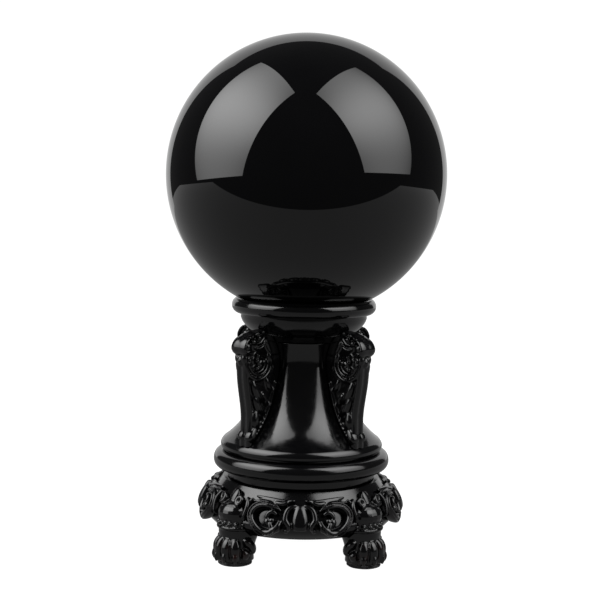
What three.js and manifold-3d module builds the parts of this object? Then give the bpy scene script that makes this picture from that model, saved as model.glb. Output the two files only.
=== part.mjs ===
// A crystal ball on a column stand, in millimetres, +Z up. The origin is on the floor, under the middle.
//
// The ball lies loose on a cushion ring in a dished cup. Cup, column, base moulding and foot ring
// register on each other with spigots, and one long countersunk bolt draws the stack together
// against a washer and nut inside the foot ring. Four scroll brackets stand on the column's
// bell, four carved scroll panels are glued round the foot ring, and four paw feet grip its
// rim, each with a felt pad.

import * as THREE from "three";
import { mergeVertices } from "three/addons/utils/BufferGeometryUtils.js";
import Module from "manifold-3d";

const wasm = await Module();
wasm.setup();

// ---- Driving dimensions ----

const GAP = 0.3; // glue line or running clearance between neighbouring pieces
const ROUND_STEPS = 32; // facets round a turned piece

const BALL_RADIUS = 40;
const BALL_STEPS = 32;

const PAD_THICKNESS = 0.8;
const PAD_INSET = 1.5; // from the sole's edge

const LEG_LENGTH = 7.7; // from the sole up to the foot ring's rim
const LEG_INSET = 0.7; // of its axis, from the rim's outside
const LEG_RADIUS = 5.4;
const LEG_POST = 7.0; // how far the leg runs up inside the foot ring
const SOLE_MARGIN = 0.9; // of the sole, beyond the leg
const SOLE_OFFSET = 0.7; // the sole's centre, further out than the leg's
const SOLE_HEIGHT = 2.2;
const KNEE_SIZE = [4.6, 5.0, 4.0]; // outwards, sideways and up
const KNEE_HEIGHT = 5.8; // of its centre, above the rim
const COLLAR_MARGIN = 0.6; // of the collar, beyond the leg
const COLLAR_HEIGHT = 1.2;
const COLLAR_RISE = 1.7; // of its underside, above the rim
const TOE_RADIUS = 1.75;
const TOE_HEIGHT = 2.9; // of a toe's middle, above the sole
const TOE_INSET = 1.3; // of a toe's middle, from the sole's edge
const TOE_ANGLES = [-54, -18, 18, 54]; // degrees, round the sole

const RING_HEIGHT = 12.5;
const RING_SHOULDER = 1.1; // of the ring's top, beyond the base moulding's fillet
const RING_FLARE = 4.9; // from its top out to its widest
const RING_TUCK = 2.0; // from its widest back in to its rim
const RING_RIM_WIDTH = 2.4;
const RING_WALL = 3.2;
const RING_WEB = 3.5; // the floor that the stack stands on

const PANEL_RELIEF = 2.5;
const VOLUTE_HALF_WIDTH = 4.9;
const VOLUTE_HALF_HEIGHT = 4.3;
const VOLUTE_BAND = 2.0; // from its rim in to its eye
const VOLUTE_LAP = 0.6; // how far a volute runs into the leaf beside it
const VOLUTE_RISE = 5.4; // of its centre, above the rim
const LEAF_WIDTH = 8.6;
const LEAF_TOP = 9.0; // above the rim
const LEAF_TIP = 1.1;

const BASE_HEIGHT = 7.4;
const BASE_FILLET_INSET = 2.1; // from the bell's rim
const BASE_FILLET_HEIGHT = 2.1;
const BASE_OVERHANG = 1.9; // of the half round, beyond the bell's rim

const SHAFT_HEIGHT = 31.7;
const BELL_RADIUS = 23.5;
const BELL_RIM = 1.5; // half the height of its rounded rim
const WAIST_RADIUS = 10.8;
const WAIST_SHARE = 0.78; // of the shaft's height, up to its waist
const SHAFT_FLARE = 1.4; // from the waist out to the shaft's top

const BRACKET_WIDTH = 4.2;
const BRACKET_FOOT_INSET = 0.6; // from the bell's rim
const BRACKET_WAIST_INSET = 1.1; // from the bell's rim
const BRACKET_SHOULDER_REACH = 24.8;
const BRACKET_TOP_RISE = 4.6; // of the leaf's root, above the column
const NOSE_RADIUS = 2.7;
const NOSE_OVERHANG = 0.9; // beyond the bracket's shoulder
const NOSE_WIDTH = 5.4;
const NOSE_RISE = 0.3; // of its centre, above the column

const CUP_STEM_MARGIN = 0.2; // of the stem, beyond the shaft's top
const CUP_BOWL_RADIUS = 18.2;
const CUP_BOWL_HEIGHT = 6.2;
const CUP_NECK_HEIGHT = 1.1; // of the notch between bowl and lip
const CUP_FLOOR = 1.6; // from its underside up to the dish
const LIP_ROLL_RADIUS = 2.3;
const LIP_OFFSET = 0.3; // of the roll's centre, beyond the bowl
const LIP_EDGE = 1.1; // from the roll's centre out to where it meets the ball's seat
const DISH_DRAFT = 1.6; // that the dish's wall leans in by

const CUSHION_INSET = 3.9; // of its middle, from the lip roll's
const CUSHION_THICKNESS = 2.2;
const CUSHION_LEDGE = 2.0; // from its middle in to the dish

const BOLT_RADIUS = 2.5;
const BOLT_HEAD_RADIUS = 4.8;
const BOLT_HEAD_HEIGHT = 2.6;
const BOLT_SLOT = 1.2;
const BOLT_TAIL = 1.5; // of thread past the nut
const NUT_FLATS = 8;
const NUT_HEIGHT = 4;
const WASHER_RADIUS = 9;
const WASHER_THICKNESS = 1.2;
const SPIGOT_RADIUS = 6;
const SPIGOT_DEPTH = 3;

// ---- Sizes and places that follow from them ----

const SOLE_RADIUS = LEG_RADIUS + SOLE_MARGIN;
const TOE_ARC = SOLE_RADIUS - TOE_INSET;
const BASE_FILLET_RADIUS = BELL_RADIUS - BASE_FILLET_INSET;
const RING_TOP_RADIUS = BASE_FILLET_RADIUS + RING_SHOULDER;
const RING_WIDEST = RING_TOP_RADIUS + RING_FLARE;
const RING_RIM_RADIUS = RING_WIDEST - RING_TUCK;
const LEG_DISTANCE = RING_RIM_RADIUS - LEG_INSET;
const SHAFT_TOP_RADIUS = WAIST_RADIUS + SHAFT_FLARE;
const CUP_STEM_RADIUS = SHAFT_TOP_RADIUS + CUP_STEM_MARGIN;
const LIP_CENTRE_RADIUS = CUP_BOWL_RADIUS + LIP_OFFSET;
const LIP_EDGE_RADIUS = LIP_CENTRE_RADIUS + LIP_EDGE;
const CUSHION_RADIUS = LIP_CENTRE_RADIUS - CUSHION_INSET;
const DISH_RADIUS = CUSHION_RADIUS - CUSHION_LEDGE;

const SOLE_Z = PAD_THICKNESS + GAP;
const RIM_Z = SOLE_Z + LEG_LENGTH;
const RING_TOP_Z = RIM_Z + RING_HEIGHT;
const WEB_Z = RING_TOP_Z - RING_WEB;
const BASE_Z = RING_TOP_Z + GAP;
const BASE_TOP_Z = BASE_Z + BASE_HEIGHT;
const SHAFT_Z = BASE_TOP_Z + GAP;
const SHAFT_TOP_Z = SHAFT_Z + SHAFT_HEIGHT;
const CUP_Z = SHAFT_TOP_Z + GAP;
const DISH_Z = CUP_Z + CUP_FLOOR;
const LIP_Z = CUP_Z + CUP_BOWL_HEIGHT + CUP_NECK_HEIGHT + LIP_ROLL_RADIUS;

// The cup's seat is dished to the ball, which hangs over the lip's edge by the gap.
const SEAT_RADIUS = BALL_RADIUS + GAP;
const LIP_EDGE_Z = LIP_Z + Math.sqrt(LIP_ROLL_RADIUS ** 2 - LIP_EDGE ** 2);
const BALL_Z = LIP_EDGE_Z + Math.sqrt(SEAT_RADIUS ** 2 - LIP_EDGE_RADIUS ** 2);
const CUSHION_SECTION = CUSHION_THICKNESS / 2;
const CUSHION_Z = BALL_Z - Math.sqrt((SEAT_RADIUS + CUSHION_SECTION) ** 2 - CUSHION_RADIUS ** 2);

const BORE = BOLT_RADIUS + GAP;
const SOCKET_RADIUS = SPIGOT_RADIUS + GAP;
const SOCKET_DEPTH = SPIGOT_DEPTH + GAP;
const WASHER_Z = WEB_Z - GAP - WASHER_THICKNESS;
const NUT_Z = WASHER_Z - GAP - NUT_HEIGHT;

const FRONT = -Math.PI / 2;
const SIDES = { front: FRONT, right: 0, rear: Math.PI / 2, left: Math.PI };
const CORNERS = {
  front_left: FRONT - Math.PI / 4,
  front_right: FRONT + Math.PI / 4,
  rear_right: FRONT + (3 * Math.PI) / 4,
  rear_left: FRONT - (3 * Math.PI) / 4,
};

// ---- Materials ----

const paint = (color, roughness, metalness = 0) =>
  new THREE.MeshStandardMaterial({ color, roughness, metalness });
const OBSIDIAN = paint(0x050506, 0.03);
const BLACK_RESIN = paint(0x0a0a0b, 0.15);
const RUBBER = paint(0x1c1c1d, 0.7);
const STEEL = paint(0xa6a8ab, 0.35, 1);
const FELT = paint(0x141415, 0.95);

// ---- Solids ----

// A closed geometry as a manifold-3d solid.
function solid(geometry) {
  const bare = geometry.clone();
  bare.deleteAttribute("normal");
  bare.deleteAttribute("uv");
  const merged = mergeVertices(bare, 1e-4);
  const vertProperties = new Float32Array(merged.attributes.position.array);
  const triVerts = new Uint32Array(merged.index.array);
  return new wasm.Manifold(new wasm.Mesh({ numProp: 3, vertProperties, triVerts }));
}

// A solid back as a geometry that a mesh can show.
function geometryOf(made) {
  const { vertProperties, triVerts } = made.getMesh();
  const indexed = new THREE.BufferGeometry();
  indexed.setAttribute("position", new THREE.BufferAttribute(vertProperties, 3));
  indexed.setIndex(new THREE.BufferAttribute(triVerts, 1));
  const faceted = indexed.toNonIndexed();
  faceted.computeVertexNormals();
  return faceted;
}

// A closed profile of (radius, height) points, anticlockwise, turned round the Z axis.
const turned = (points, steps = ROUND_STEPS) => new THREE.LatheGeometry(points, steps).rotateX(Math.PI / 2);
const points = (...pairs) => pairs.map(([r, z]) => new THREE.Vector2(r, z));
const rod = (radius, z0, z1, steps = ROUND_STEPS) =>
  turned(points([0, z0], [radius, z0], [radius, z1], [0, z1]), steps);

// A closed profile moved out by a distance all round, to cut what has to clear it.
function grown(profile, by) {
  const corners = profile.slice(0, -1);
  const moved = corners.map((corner, i) => {
    const before = corner.clone().sub(corners.at(i - 1)).normalize();
    const after = corners[(i + 1) % corners.length].clone().sub(corner).normalize();
    const mitre = before.clone().add(after).normalize();
    const reach = by / Math.max(mitre.dot(before), 0.5);
    return new THREE.Vector2(corner.x + reach * mitre.y, corner.y - reach * mitre.x);
  });
  return [...moved, moved[0]];
}

// An upright plate: its shape's x runs outwards and its y up, and its width is centred on the X axis.
const plate = (shape, width, curveSegments = 8) =>
  new THREE.ExtrudeGeometry(shape, { depth: width, bevelEnabled: false, curveSegments })
    .rotateX(Math.PI / 2)
    .translate(0, width / 2, 0);

// A block that faces outwards: its shape's x runs sideways and its y up, and it reaches from x0 to x1.
const block = (shape, x0, x1, curveSegments = 6) =>
  new THREE.ExtrudeGeometry(shape, { depth: x1 - x0, bevelEnabled: false, curveSegments })
    .rotateX(Math.PI / 2)
    .rotateZ(Math.PI / 2)
    .translate(x0, 0, 0);

const sphere = (radius, steps, rows) => new THREE.SphereGeometry(radius, steps, rows).rotateX(Math.PI / 2);
const ellipsoid = ([rx, ry, rz], [x, y, z], steps) =>
  sphere(1, steps, Math.round(steps * 0.6)).scale(rx, ry, rz).translate(x, y, z);

function placed(name, geometry, material, angle = 0) {
  const mesh = new THREE.Mesh(geometry, material);
  mesh.name = name;
  mesh.rotation.z = angle;
  return mesh;
}

// ---- Ball and its cushion ----

const ball = () => sphere(BALL_RADIUS, BALL_STEPS, BALL_STEPS / 2).translate(0, 0, BALL_Z);

const cushionRing = () =>
  new THREE.TorusGeometry(CUSHION_RADIUS, CUSHION_SECTION, 8, ROUND_STEPS).translate(0, 0, CUSHION_Z);

// ---- Cup ----

function cupProfile() {
  const cushionFloor = CUSHION_Z - CUSHION_SECTION - GAP;
  const cushionWall = CUSHION_RADIUS + CUSHION_SECTION + GAP;
  const onSeat = (r) => new THREE.Vector2(r, BALL_Z - Math.sqrt(SEAT_RADIUS ** 2 - r ** 2));
  const lipEdge = Math.acos(LIP_EDGE / LIP_ROLL_RADIUS);
  const bowl = new THREE.SplineCurve(points(
    [CUP_STEM_RADIUS, CUP_Z],
    [CUP_STEM_RADIUS + 1.3, CUP_Z + 1.6],
    [CUP_BOWL_RADIUS - 2.2, CUP_Z + CUP_BOWL_HEIGHT - 3.3],
    [CUP_BOWL_RADIUS - 0.6, CUP_Z + CUP_BOWL_HEIGHT - 1.4],
    [CUP_BOWL_RADIUS, CUP_Z + CUP_BOWL_HEIGHT],
  ));
  const roll = new THREE.EllipseCurve(
    LIP_CENTRE_RADIUS, LIP_Z, LIP_ROLL_RADIUS, LIP_ROLL_RADIUS, -0.55 * Math.PI, lipEdge);
  return [
    ...bowl.getPoints(8),
    ...roll.getPoints(8),
    onSeat((LIP_EDGE_RADIUS + cushionWall) / 2),
    onSeat(cushionWall),
    ...points(
      [cushionWall, cushionFloor],
      [DISH_RADIUS, cushionFloor],
      [DISH_RADIUS - DISH_DRAFT, DISH_Z],
      [BOLT_HEAD_RADIUS + GAP, DISH_Z],
      [BORE, DISH_Z - BOLT_HEAD_HEIGHT],
      [BORE, CUP_Z - SPIGOT_DEPTH],
      [SPIGOT_RADIUS, CUP_Z - SPIGOT_DEPTH],
      [SPIGOT_RADIUS, CUP_Z],
      [CUP_STEM_RADIUS, CUP_Z],
    ),
  ];
}

// ---- Column ----

function shaftProfile() {
  const rimTop = SHAFT_Z + 2 * BELL_RIM;
  const waistZ = SHAFT_Z + WAIST_SHARE * SHAFT_HEIGHT;
  const belly = waistZ - rimTop;
  const neckZ = waistZ + 0.46 * (SHAFT_TOP_Z - waistZ);
  const profile = new THREE.Path();
  profile.moveTo(BORE, SHAFT_Z - SPIGOT_DEPTH);
  profile.lineTo(SPIGOT_RADIUS, SHAFT_Z - SPIGOT_DEPTH);
  profile.lineTo(SPIGOT_RADIUS, SHAFT_Z);
  profile.lineTo(BELL_RADIUS - 0.7, SHAFT_Z);
  profile.quadraticCurveTo(BELL_RADIUS + 0.6, SHAFT_Z + BELL_RIM, BELL_RADIUS - 0.9, rimTop);
  profile.bezierCurveTo(
    BELL_RADIUS - 3.6, rimTop + 0.09 * belly, WAIST_RADIUS + 2.2, waistZ - 0.64 * belly, WAIST_RADIUS, waistZ);
  profile.quadraticCurveTo(WAIST_RADIUS - 0.5, neckZ, SHAFT_TOP_RADIUS, SHAFT_TOP_Z);
  profile.lineTo(SOCKET_RADIUS, SHAFT_TOP_Z);
  profile.lineTo(SOCKET_RADIUS, SHAFT_TOP_Z - SOCKET_DEPTH);
  profile.lineTo(BORE, SHAFT_TOP_Z - SOCKET_DEPTH);
  profile.closePath();
  return profile.getPoints(5);
}

// A console: a back that leans in to the waist, fitted to the bell, and a leaf that springs
// from under the cup and rolls over into a nose.
function bracket() {
  const inner = SPIGOT_RADIUS + 1;
  const noseX = BRACKET_SHOULDER_REACH + NOSE_OVERHANG - NOSE_RADIUS;
  const noseZ = SHAFT_TOP_Z + NOSE_RISE;
  const rimTop = SHAFT_Z + 2 * BELL_RIM;
  const outline = new THREE.Shape();
  outline.moveTo(inner, rimTop - 1.5);
  outline.lineTo(BELL_RADIUS - BRACKET_FOOT_INSET, rimTop - 1.5);
  outline.lineTo(BELL_RADIUS - BRACKET_FOOT_INSET, rimTop + 1);
  outline.splineThru(points(
    [BELL_RADIUS - BRACKET_WAIST_INSET, SHAFT_TOP_Z - 20],
    [BRACKET_SHOULDER_REACH - 0.8, SHAFT_TOP_Z - 10],
    [BRACKET_SHOULDER_REACH, noseZ - NOSE_RADIUS],
  ));
  outline.lineTo(noseX + 0.4 * NOSE_RADIUS, noseZ + 0.8 * NOSE_RADIUS);
  outline.lineTo(CUP_BOWL_RADIUS - 1, SHAFT_TOP_Z + BRACKET_TOP_RISE);
  outline.lineTo(CUP_BOWL_RADIUS - 3, SHAFT_TOP_Z + BRACKET_TOP_RISE);
  outline.lineTo(CUP_STEM_RADIUS - 1, CUP_Z);
  outline.lineTo(inner, CUP_Z);
  const nose = new THREE.Shape().absarc(noseX, noseZ, NOSE_RADIUS, 0, 2 * Math.PI);
  return solid(plate(outline, BRACKET_WIDTH, 4))
    .add(solid(plate(nose, NOSE_WIDTH)))
    .subtract(solid(turned(grown(shaftProfile(), GAP))))
    .subtract(solid(turned(grown(cupProfile(), GAP))));
}

// ---- Base moulding ----

function baseMoulding() {
  const widest = BELL_RADIUS + BASE_OVERHANG;
  const filletTop = BASE_Z + BASE_FILLET_HEIGHT;
  const profile = new THREE.Path();
  profile.moveTo(BORE, BASE_Z - SPIGOT_DEPTH);
  profile.lineTo(SPIGOT_RADIUS, BASE_Z - SPIGOT_DEPTH);
  profile.lineTo(SPIGOT_RADIUS, BASE_Z);
  profile.lineTo(BASE_FILLET_RADIUS, BASE_Z);
  profile.lineTo(BASE_FILLET_RADIUS, filletTop);
  profile.quadraticCurveTo(widest, filletTop, widest, (filletTop + BASE_TOP_Z) / 2);
  profile.quadraticCurveTo(widest, BASE_TOP_Z - 0.5, BELL_RADIUS, BASE_TOP_Z);
  profile.lineTo(SOCKET_RADIUS, BASE_TOP_Z);
  profile.lineTo(SOCKET_RADIUS, BASE_TOP_Z - SOCKET_DEPTH);
  profile.lineTo(BORE, BASE_TOP_Z - SOCKET_DEPTH);
  profile.closePath();
  return turned(profile.getPoints(5));
}

// ---- Foot ring ----

// The skirt's outside, from its rim up to its shoulder, moved out by grow.
function skirt(grow = 0) {
  const curve = new THREE.SplineCurve([
    new THREE.Vector2(RING_RIM_RADIUS, RIM_Z),
    new THREE.Vector2(RING_WIDEST, RIM_Z + 2.6),
    new THREE.Vector2(RING_WIDEST - 0.9, RIM_Z + 6),
    new THREE.Vector2((RING_WIDEST + RING_TOP_RADIUS) / 2, RING_TOP_Z - 3.4),
    new THREE.Vector2(RING_TOP_RADIUS, RING_TOP_Z),
  ]);
  return curve.getPoints(10).map((point, i) => {
    const along = curve.getTangent(i / 10);
    return new THREE.Vector2(point.x + grow * along.y, point.y - grow * along.x);
  });
}

// The skirt filled solid, for cutting what is fitted to it.
function skirtCore(grow) {
  const side = skirt(grow);
  const low = new THREE.Vector2(0, side[0].y);
  const high = new THREE.Vector2(0, side.at(-1).y);
  return solid(turned([low, ...side, high]));
}

const footRingProfile = () => [
  ...skirt(),
  ...points(
    [SOCKET_RADIUS, RING_TOP_Z],
    [SOCKET_RADIUS, WEB_Z],
    [RING_TOP_RADIUS - RING_WALL, WEB_Z],
    [RING_WIDEST - RING_WALL - 0.8, RIM_Z + 4.5],
    [RING_RIM_RADIUS - RING_RIM_WIDTH, RIM_Z],
    [RING_RIM_RADIUS, RIM_Z],
  ),
];

// A carved panel for one side: a leaf between two open volutes, following the skirt.
function scrollPanel() {
  const x0 = RING_TOP_RADIUS / 2;
  const x1 = RING_WIDEST + 2 * PANEL_RELIEF;
  const leaf = new THREE.Shape();
  leaf.moveTo(0, RIM_Z + LEAF_TIP);
  leaf.quadraticCurveTo(LEAF_WIDTH * 0.6, RIM_Z + 3, LEAF_WIDTH / 2, RIM_Z + 6.5);
  leaf.quadraticCurveTo(LEAF_WIDTH * 0.4, RIM_Z + LEAF_TOP, 0, RIM_Z + LEAF_TOP);
  leaf.quadraticCurveTo(-LEAF_WIDTH * 0.4, RIM_Z + LEAF_TOP, -LEAF_WIDTH / 2, RIM_Z + 6.5);
  leaf.quadraticCurveTo(-LEAF_WIDTH * 0.6, RIM_Z + 3, 0, RIM_Z + LEAF_TIP);
  const spread = LEAF_WIDTH / 2 + VOLUTE_HALF_WIDTH - VOLUTE_LAP;
  const eyeWidth = VOLUTE_HALF_WIDTH - VOLUTE_BAND;
  const eyeHeight = VOLUTE_HALF_HEIGHT - VOLUTE_BAND;
  const z = RIM_Z + VOLUTE_RISE;
  let made = solid(block(leaf, x0, x1));
  for (const side of [-1, 1]) {
    const y = side * spread;
    const ring = new THREE.Shape().absellipse(y, z, VOLUTE_HALF_WIDTH, VOLUTE_HALF_HEIGHT, 0, 2 * Math.PI);
    ring.holes.push(new THREE.Path().absellipse(y, z, eyeWidth, eyeHeight, 0, 2 * Math.PI));
    const bud = new THREE.Shape();
    bud.absarc(y - side * eyeWidth * 0.45, z - eyeHeight * 0.55, eyeHeight * 0.7, 0, 2 * Math.PI);
    made = made.add(solid(block(ring, x0, x1, 8))).add(solid(block(bud, x0, x1, 4)));
  }
  return made.intersect(skirtCore(PANEL_RELIEF)).subtract(skirtCore(GAP));
}

// ---- Paw feet ----

// A leg notched to take the foot ring's rim, with its knee outside the skirt and its post inside.
function pawFoot() {
  const soleX = LEG_DISTANCE + SOLE_OFFSET;
  const collarZ = RIM_Z + COLLAR_RISE;
  const collarRadius = LEG_RADIUS + COLLAR_MARGIN;
  const shank = rod(LEG_RADIUS, SOLE_Z + 1, RIM_Z + LEG_POST, 20).translate(LEG_DISTANCE, 0, 0);
  const knee = ellipsoid(KNEE_SIZE, [LEG_DISTANCE + 1, 0, RIM_Z + KNEE_HEIGHT], 12);
  const collar = rod(collarRadius, collarZ, collarZ + COLLAR_HEIGHT, 20).translate(LEG_DISTANCE, 0, 0);
  const sole = rod(SOLE_RADIUS, SOLE_Z, SOLE_Z + SOLE_HEIGHT, 18).translate(soleX, 0, 0);
  const instepRadius = SOLE_RADIUS - 0.4;
  const instepZ = SOLE_Z + SOLE_HEIGHT - 0.5;
  const instep = ellipsoid([instepRadius, instepRadius, 4.4], [soleX - 0.3, 0, instepZ], 12);
  const floor = new THREE.BoxGeometry(4 * SOLE_RADIUS, 4 * SOLE_RADIUS, LEG_LENGTH);
  const toes = TOE_ANGLES.map((degrees) => {
    const toe = ellipsoid([TOE_RADIUS, TOE_RADIUS, TOE_RADIUS], [TOE_ARC, 0, SOLE_Z + TOE_HEIGHT], 8);
    return toe.rotateZ(THREE.MathUtils.degToRad(degrees)).translate(soleX, 0, 0);
  });
  return [shank, knee, collar, sole, instep, ...toes]
    .map(solid)
    .reduce((paw, piece) => paw.add(piece))
    .subtract(solid(floor.translate(soleX, 0, SOLE_Z - LEG_LENGTH / 2)))
    .subtract(solid(turned(grown(footRingProfile(), GAP))));
}

const feltPad = () =>
  rod(SOLE_RADIUS - PAD_INSET, 0, PAD_THICKNESS, 24).translate(LEG_DISTANCE + SOLE_OFFSET, 0, 0);

// ---- Fastenings ----

function tieBolt() {
  const tail = NUT_Z - BOLT_TAIL;
  const neck = DISH_Z - BOLT_HEAD_HEIGHT;
  const shank = [[0, tail], [BOLT_RADIUS, tail], [BOLT_RADIUS, neck]];
  const profile = points(...shank, [BOLT_HEAD_RADIUS, DISH_Z], [0, DISH_Z]);
  const slot = new THREE.BoxGeometry(3 * BOLT_HEAD_RADIUS, BOLT_SLOT, 2).translate(0, 0, DISH_Z);
  return solid(turned(profile, 20)).subtract(solid(slot));
}

// A flat ring: outer radius, bore, underside and thickness.
const flatRing = (radius, bore, z, thickness, steps) =>
  turned(points([bore, z], [radius, z], [radius, z + thickness], [bore, z + thickness], [bore, z]), steps);

const washer = () => flatRing(WASHER_RADIUS, BORE, WASHER_Z, WASHER_THICKNESS, 24);

function nut() {
  const toCorner = NUT_FLATS / Math.sqrt(3);
  const hexagon = new THREE.CylinderGeometry(toCorner, toCorner, NUT_HEIGHT, 6)
    .rotateX(Math.PI / 2)
    .translate(0, 0, NUT_Z + NUT_HEIGHT / 2);
  return solid(hexagon).subtract(solid(rod(BORE, NUT_Z - 1, NUT_Z + NUT_HEIGHT + 1, 20)));
}

// ---- Assembly ----

const crystalBall = new THREE.Group();
crystalBall.add(
  placed("ball", ball(), OBSIDIAN),
  placed("cushion_ring", cushionRing(), RUBBER),
  placed("cup", turned(cupProfile()), BLACK_RESIN),
  placed("column_shaft", turned(shaftProfile()), BLACK_RESIN),
  placed("base_moulding", baseMoulding(), BLACK_RESIN),
  placed("foot_ring", turned(footRingProfile()), BLACK_RESIN),
  placed("tie_bolt", geometryOf(tieBolt()), STEEL),
  placed("clamp_washer", washer(), STEEL),
  placed("clamp_nut", geometryOf(nut()), STEEL),
);

const cornerPieces = {
  bracket: [geometryOf(bracket()), BLACK_RESIN],
  paw_foot: [geometryOf(pawFoot()), BLACK_RESIN],
  felt_pad: [feltPad(), FELT],
};
for (const [piece, [geometry, material]] of Object.entries(cornerPieces))
  for (const [corner, angle] of Object.entries(CORNERS))
    crystalBall.add(placed(`${piece}_${corner}`, geometry, material, angle));

const panel = geometryOf(scrollPanel());
for (const [side, angle] of Object.entries(SIDES))
  crystalBall.add(placed(`scroll_panel_${side}`, panel, BLACK_RESIN, angle));

export default crystalBall;
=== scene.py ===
# %% [markdown]
# # A crystal ball on a cast stand
# The object is a polished ball of black volcanic glass, resting loose on a stand of gloss black resin.
# The stand is a column with four scroll brackets, on a ring with carved panels and four lion's paws.
# Every size below is in millimetres, and is turned to metres only when a mesh is made.
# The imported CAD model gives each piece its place, and this file gives it its surface.

import bpy
import numpy as np
from mathutils import Matrix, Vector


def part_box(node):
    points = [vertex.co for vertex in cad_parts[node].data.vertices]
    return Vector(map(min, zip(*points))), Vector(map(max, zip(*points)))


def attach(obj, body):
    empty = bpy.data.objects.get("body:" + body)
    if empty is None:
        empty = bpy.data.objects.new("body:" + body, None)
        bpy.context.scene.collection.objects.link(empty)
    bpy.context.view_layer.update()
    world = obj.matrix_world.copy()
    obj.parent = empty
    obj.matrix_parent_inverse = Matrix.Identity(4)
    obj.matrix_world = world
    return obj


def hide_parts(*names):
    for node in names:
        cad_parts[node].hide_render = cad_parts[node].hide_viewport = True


MM = 0.001
GAP = 0.3
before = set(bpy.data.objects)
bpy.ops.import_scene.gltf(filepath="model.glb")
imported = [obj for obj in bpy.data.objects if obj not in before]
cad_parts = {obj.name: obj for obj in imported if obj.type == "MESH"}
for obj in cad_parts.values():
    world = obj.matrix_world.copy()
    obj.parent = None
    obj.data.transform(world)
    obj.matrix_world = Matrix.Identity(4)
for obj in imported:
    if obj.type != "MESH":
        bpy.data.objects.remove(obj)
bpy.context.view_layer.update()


def low(node):
    """The lowest corner of a CAD node's box, in millimetres."""
    return np.array(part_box(node)[0]) / MM


def high(node):
    """The highest corner of a CAD node's box, in millimetres."""
    return np.array(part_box(node)[1]) / MM


RIM_Z = low("foot_ring")[2]
RING_TOP_Z = high("foot_ring")[2]
BASE_Z = RING_TOP_Z + GAP
BASE_TOP_Z = high("base_moulding")[2]
SHAFT_Z = BASE_TOP_Z + GAP
SHAFT_TOP_Z = high("column_shaft")[2]
CUP_Z = SHAFT_TOP_Z + GAP
SOLE_Z = low("paw_foot_front_left")[2]
BALL_R = (high("ball")[2] - low("ball")[2]) / 2
BALL_Z = (high("ball")[2] + low("ball")[2]) / 2
print("ball radius", round(BALL_R, 3), "centre height", round(BALL_Z, 3))

# %% [markdown]
# ## The camera
# The camera stands a little below the ball's middle, 375 mm away, and looks down by about five degrees.
# It could be aimed with a constraint, but a turned matrix keeps the small roll exact.

# %% Camera
LENS = 77.7  # on a sensor 36 mm wide
CAMERA_AT = (-0.46, -375, 104.7)
LOOKS_DOWN, ROLLS = 5.04, 1.08  # degrees
camera = bpy.data.objects.new("camera", bpy.data.cameras.new("camera"))
camera.data.sensor_width = 36
camera.data.lens = LENS
camera.data.clip_start = 0.01
camera.location = [c * MM for c in CAMERA_AT]
tilt = Matrix.Rotation(np.radians(90 - LOOKS_DOWN), 4, "X")
roll = Matrix.Rotation(np.radians(ROLLS), 4, "Z")
camera.rotation_euler = (tilt @ roll).to_euler()
bpy.context.scene.collection.objects.link(camera)
bpy.context.scene.camera = camera
bpy.context.scene.view_settings.view_transform = "Standard"
print("lens", camera.data.lens, "mm")

# %% [markdown]
# ## Nodes and colours
# A paint chip is written as an sRGB hex value, but a shader mixes light, which is linear.
# One function turns one into the other, and one small function adds any node with its settings and links.


# %% Colour and node helpers
def linear(chip):
    """An sRGB hex colour as linear red, green, blue and alpha: each part, from 0 to 1, is divided by
    12.92 below 0.04045, and above it is ((part + 0.055) / 1.055) to the power 2.4."""
    part = np.array([int(chip[i : i + 2], 16) for i in (1, 3, 5)]) / 255
    bent = np.where(part <= 0.04045, part / 12.92, ((part + 0.055) / 1.055) ** 2.4)
    return (*bent.tolist(), 1.0)


def add(tree, kind, inputs=None, **settings):
    """One node, with its own settings, and each input either linked to a socket or set to a value."""
    node = tree.nodes.new(kind)
    for name, value in settings.items():
        setattr(node, name, value)
    for name, value in (inputs or {}).items():
        if isinstance(value, bpy.types.NodeSocket):
            tree.links.new(value, node.inputs[name])
        else:
            node.inputs[name].default_value = value
    return node


def new_material(name):
    """An empty material, its node tree and its output node."""
    material = bpy.data.materials.new(name)
    material.use_nodes = True
    material.node_tree.nodes.clear()
    tree = material.node_tree
    return material, tree, add(tree, "ShaderNodeOutputMaterial")


def per(millimetres):
    """A texture scale, in waves for each metre, from the size of one wave in millimetres."""
    return 1 / (millimetres * MM)


print("ink black is", [round(x, 4) for x in linear("#0a0a0b")])

# %% [markdown]
# ## Meshes
# A mesh is put together from shells, and a shell is a closed skin over rings of points.
# Whole arrays are computed at once, which is quick and keeps each shape's formula easy to read.


# %% Shell helpers
def outward(points, faces):
    """A shell whose faces point out. Its signed volume is the sum of each corner triple's product over six,
    and if that is below zero every face is turned over."""
    corners = [np.concatenate([f[:, [0, i, i + 1]] for f in faces if f.shape[1] > i + 1]) for i in (1, 2)
               if any(f.shape[1] > i + 1 for f in faces)]
    a, b, c = (points[np.concatenate(corners)[:, k]] for k in range(3))
    volume = np.einsum("ij,ij->", a, np.cross(b, c)) / 6
    return points, [f if volume > 0 else f[:, ::-1] for f in faces]


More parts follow.
